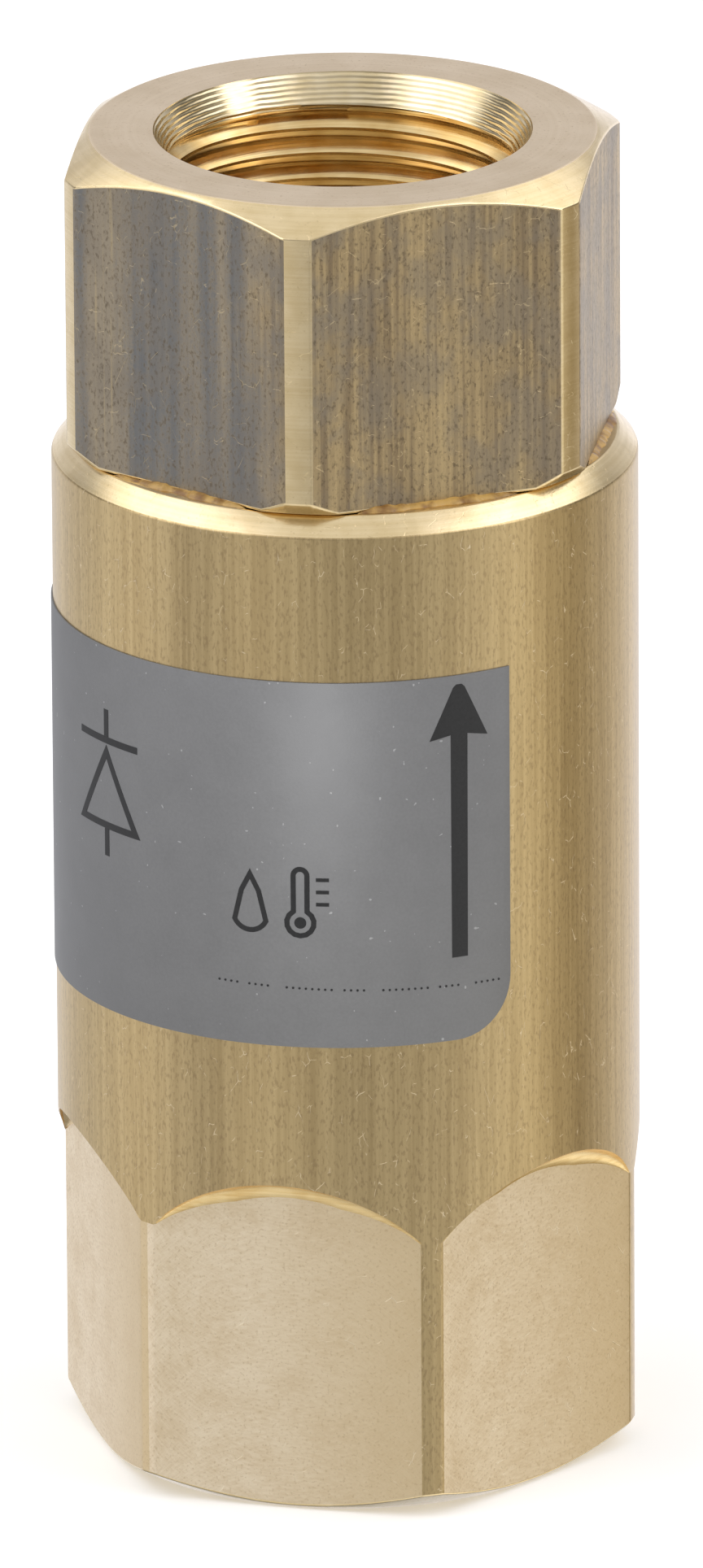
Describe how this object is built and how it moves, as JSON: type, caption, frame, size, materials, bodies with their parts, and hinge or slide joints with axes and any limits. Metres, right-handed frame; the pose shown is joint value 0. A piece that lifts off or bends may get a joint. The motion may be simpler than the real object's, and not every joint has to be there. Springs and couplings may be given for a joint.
{
  "type": "check valve",
  "caption": "In-line check valve: round brass body with milled wrench flats, hexagonal outlet cap, threaded ports and a spring-closed guided poppet.",
  "frame": {"origin": "centre of the inlet end face, at the bottom of the valve as it stands on its inlet", "axes": "+Z along the bore in the direction of flow, from inlet to outlet; -Y is the outward normal of one milled wrench flat on the body"},
  "size_m": [0.0409, 0.0409, 0.0955],
  "materials": {
    "brass_body": "drawn bar, brushed by turning, milled flats",
    "brass_cap": "drawn hexagon bar, tarnished",
    "sealant": "set resin, satin",
    "label": "printed vinyl, satin",
    "nitrile": "moulded",
    "ptfe": "turned",
    "stainless": "cold headed",
    "bush": "turned acetal",
    "spring_wire": "drawn wire",
    "poppet_brass": "turned",
    "seal_rubber": "moulded"
  },
  "bodies": {
    "valve": {"body": "brass_body", "outlet_cap": "brass_cap", "thread_sealant": "sealant", "label": "label", "cap_o_ring": "nitrile", "cap_backup_ring": "ptfe", "seat_ring": "stainless", "seat_o_ring": "nitrile", "seat_backup_ring": "ptfe", "spacer_sleeve": "stainless", "stem_guide": "stainless", "guide_bush": "bush", "spring_washer": "stainless", "spring": "spring_wire"},
    "poppet": {"poppet": "poppet_brass", "poppet_seal": "seal_rubber", "seal_retainer": "stainless", "lock_washer": "stainless", "retainer_screw": "stainless"}
  },
  "joints": [
    {"name": "poppet_lift", "type": "slide", "parent": "valve", "child": "poppet", "axis": [0, 0, 1], "range_m": [0, 0.005], "stiffness_N_per_m": 870, "springref_m": -0.005, "deforming": ["spring"]}
  ]
}
